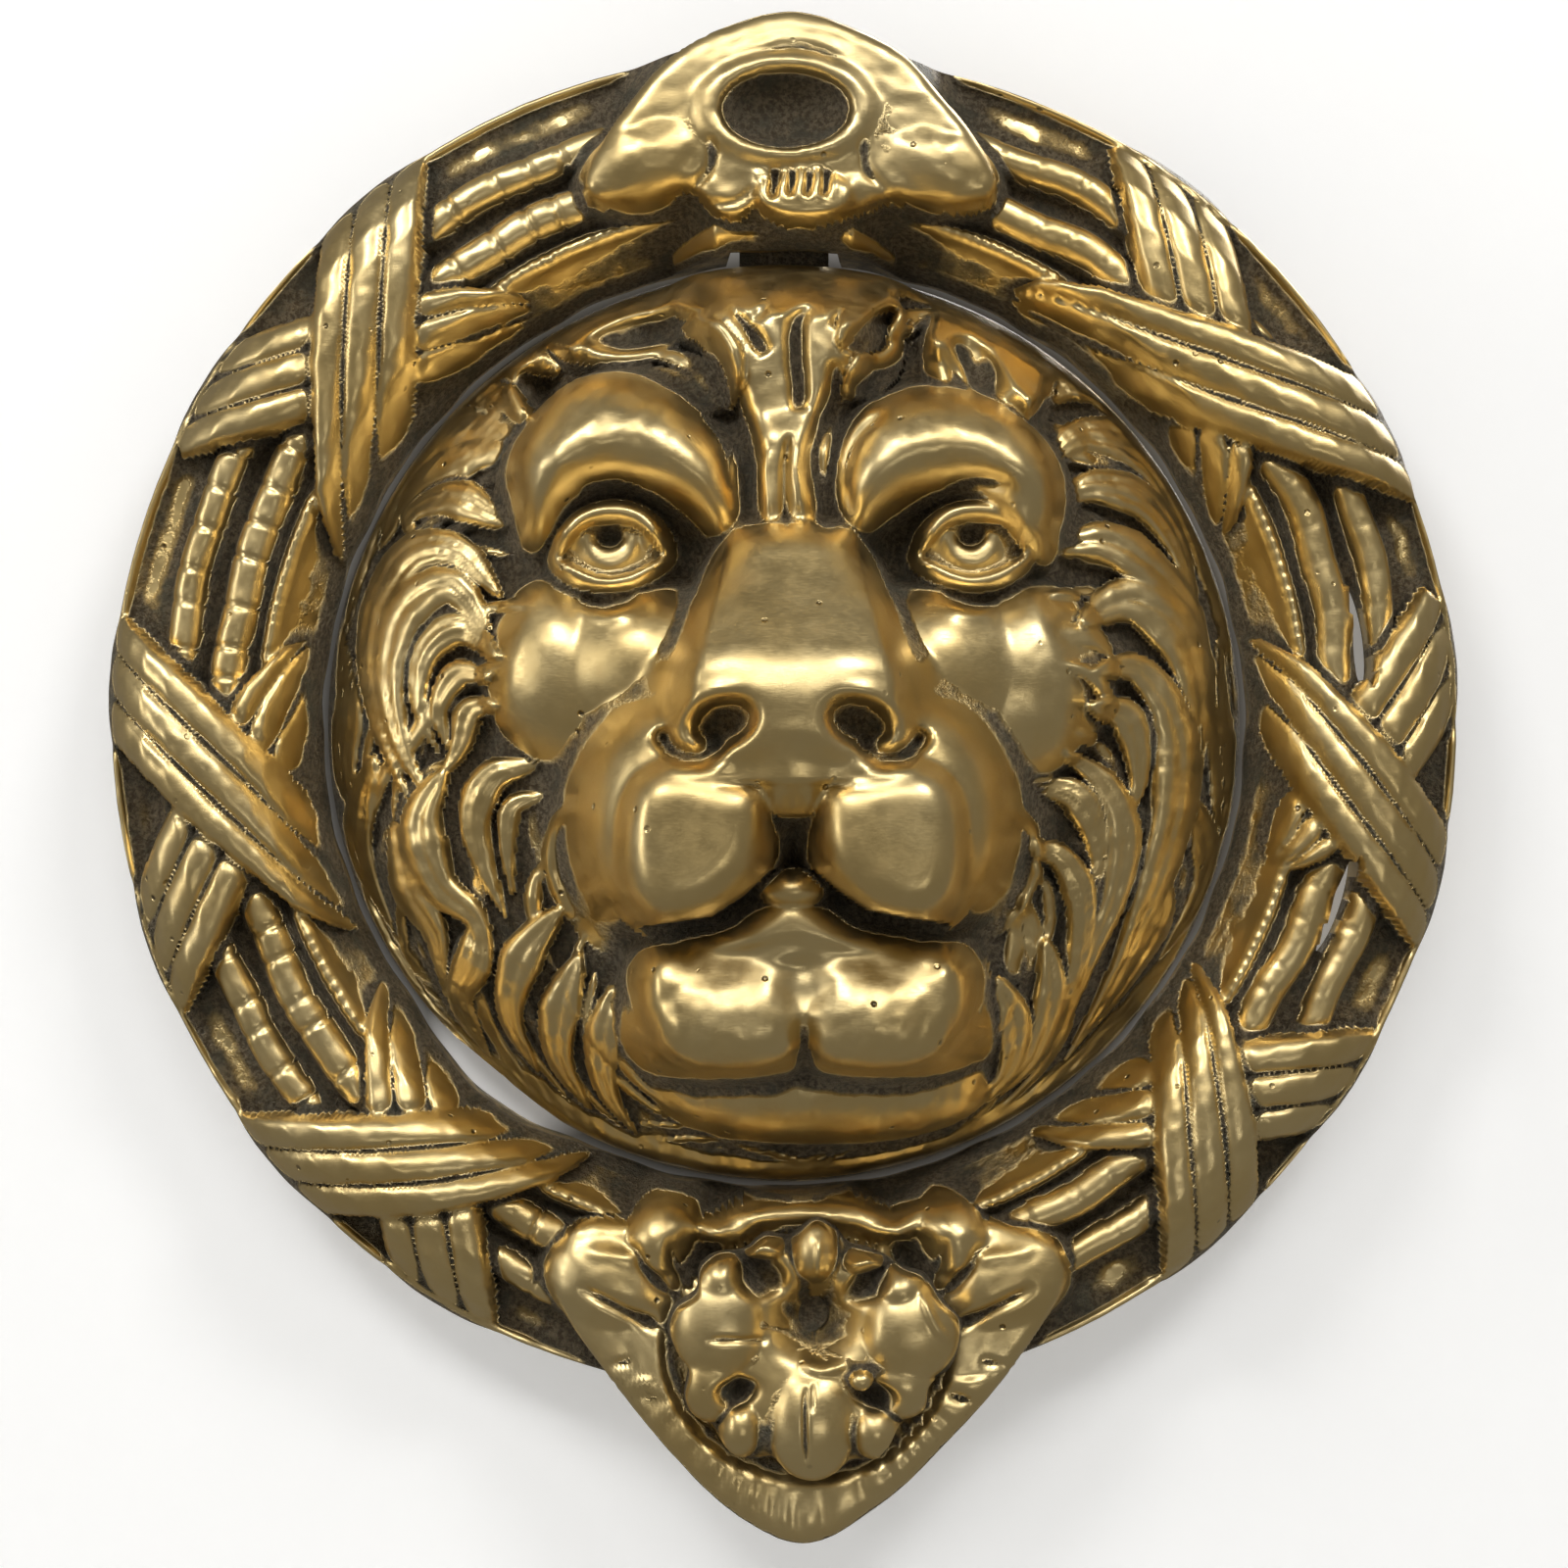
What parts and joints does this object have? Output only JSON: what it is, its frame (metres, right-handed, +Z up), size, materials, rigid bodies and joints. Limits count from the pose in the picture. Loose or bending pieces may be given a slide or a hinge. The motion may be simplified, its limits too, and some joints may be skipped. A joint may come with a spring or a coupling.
{
  "type": "lion head door knocker",
  "caption": "Cast brass door knocker: a lion mask bolted to the door, with a ribbon-bound reed wreath that swings from a hinge at its top and strikes a button.",
  "frame": {"origin": "on the door's face, in the middle of the wreath, midway between the two fixing studs", "axes": "+Z up, the lion looks along -Y, +Y goes into the door, +X to the right as seen from the front"},
  "size_m": [0.182, 0.116, 0.2015],
  "materials": {
    "mask_brass": "worn polish, dark recesses",
    "wreath_brass": "worn polish, dark recesses",
    "rosette_brass": "worn polish",
    "turned_brass": "turned",
    "fixing_steel": "zinc plated"
  },
  "bodies": {
    "lion_mask": {"lion_head": "mask_brass", "upper_fixing_stud": "fixing_steel", "lower_fixing_stud": "fixing_steel", "upper_fixing_washer": "fixing_steel", "lower_fixing_washer": "fixing_steel", "upper_fixing_nut": "fixing_steel", "lower_fixing_nut": "fixing_steel", "strike_button": "turned_brass", "strike_washer": "fixing_steel", "strike_nut": "fixing_steel"},
    "wreath_knocker": {"wreath_ring": "wreath_brass", "rosette": "rosette_brass", "hammer_stud": "turned_brass", "hinge_pin": "fixing_steel"}
  },
  "joints": [
    {"name": "knocker_swing", "type": "hinge", "parent": "lion_mask", "child": "wreath_knocker", "pos_m": [0, -0.0115, 0.084], "axis": [-1, 0, 0], "range_deg": [0, 80]}
  ]
}
